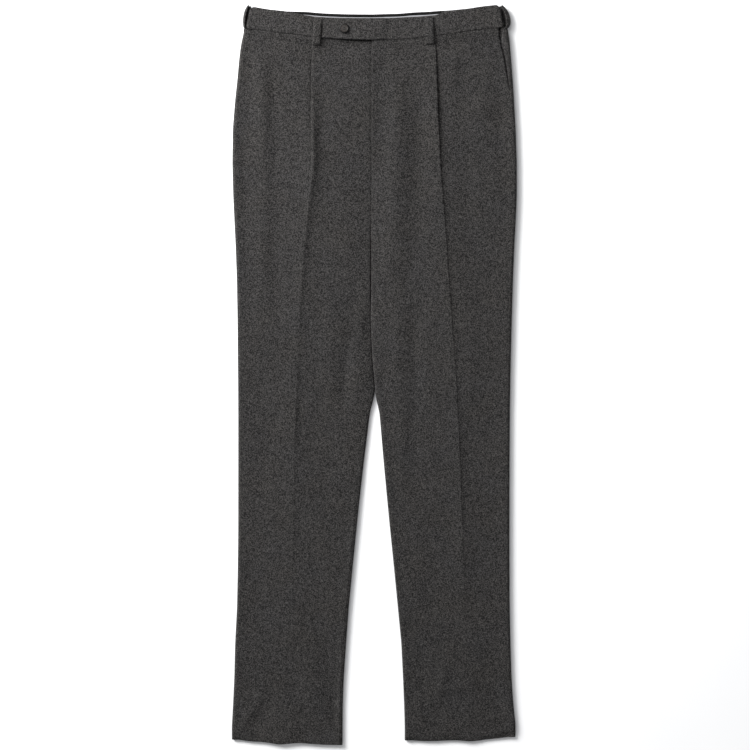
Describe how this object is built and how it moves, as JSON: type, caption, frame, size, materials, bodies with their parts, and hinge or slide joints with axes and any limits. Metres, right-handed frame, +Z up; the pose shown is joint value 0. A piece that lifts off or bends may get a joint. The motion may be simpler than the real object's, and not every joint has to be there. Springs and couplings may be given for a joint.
{
  "type": "pleated dress trousers",
  "caption": "Full-length dress trousers laid flat, front up, with a pleat and pressed crease in each leg, slanted side pockets, belt loops and a buttoned waistband tab.",
  "frame": {"origin": "centre of the garment's outline on the surface it lies on", "axes": "+Y from the hems to the waist, +X to the wearer's left, +Z up out of the front"},
  "size_m": [0.4435, 1.1486, 0.0163],
  "materials": {
    "wool": "matt dark charcoal worsted wool with a fine irregular weave",
    "lining": "smooth light grey waistband lining",
    "horn": "polished dark brown horn"
  },
  "bodies": {
    "root": {"front_left": "wool", "front_right": "wool", "back_left": "wool", "back_right": "wool", "waistband_left": "wool", "waistband_right": "wool", "fly_tab": "wool", "pocket_facing_left": "wool", "pocket_facing_right": "wool", "belt_loop_front_left": "wool", "belt_loop_front_right": "wool", "belt_loop_side_left": "wool", "belt_loop_side_right": "wool", "belt_loop_back_center": "wool", "waistband_lining": "lining", "button": "horn"}
  },
  "joints": []
}
